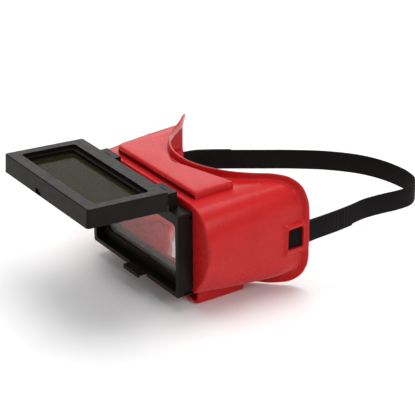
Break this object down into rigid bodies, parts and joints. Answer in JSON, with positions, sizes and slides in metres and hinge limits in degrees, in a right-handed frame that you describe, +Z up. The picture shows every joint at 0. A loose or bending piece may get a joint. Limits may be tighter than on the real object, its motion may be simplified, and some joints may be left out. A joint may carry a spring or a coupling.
{
  "type": "lift-front welding goggles",
  "caption": "Soft wraparound goggle body with a clear front lens, a hinged dark filter frame that lifts up, covered vents and an elastic head strap.",
  "frame": {"origin": "on the flat underside of the bottom vent cover, on the centre line, 24 mm behind the plane of the fixed frame's front face", "axes": "+Z up as worn and as it stands, lens side towards -Y, +X towards the wearer's left; the filter frame is lifted at rest"},
  "size_m": [0.1651, 0.2964, 0.104],
  "materials": {
    "soft_red": "satin",
    "black_plastic": "satin",
    "clear_plastic": "gloss",
    "filter_green": "gloss",
    "black_rubber": "matte",
    "pin_steel": "satin",
    "elastic_webbing": "matte"
  },
  "bodies": {
    "goggles": {"goggle_body": "soft_red", "top_vent_cover": "soft_red", "bottom_vent_cover": "soft_red", "front_frame": "black_plastic", "lens_retainer": "black_plastic", "clear_lens": "clear_plastic", "lens_gasket": "black_rubber", "hinge_pin_left": "pin_steel", "hinge_pin_right": "pin_steel", "strap": "elastic_webbing"},
    "flip": {"flip_frame": "black_plastic", "cover_plate": "clear_plastic", "shade_filter": "filter_green", "filter_gasket": "black_rubber", "filter_retainer": "black_plastic"},
    "latch": {"latch_tongue": "black_plastic"}
  },
  "joints": [
    {"name": "filter_hinge", "type": "hinge", "parent": "goggles", "child": "flip", "pos_m": [0, -0.02656, 0.08734], "axis": [1, 0, 0], "range_deg": [0, 93.75]},
    {"name": "latch_press", "type": "hinge", "parent": "goggles", "child": "latch", "pos_m": [0, -0.0188, 0.0144], "axis": [1, 0, 0], "range_deg": [0, 8], "stiffness_Nm_per_rad": 0.3}
  ]
}
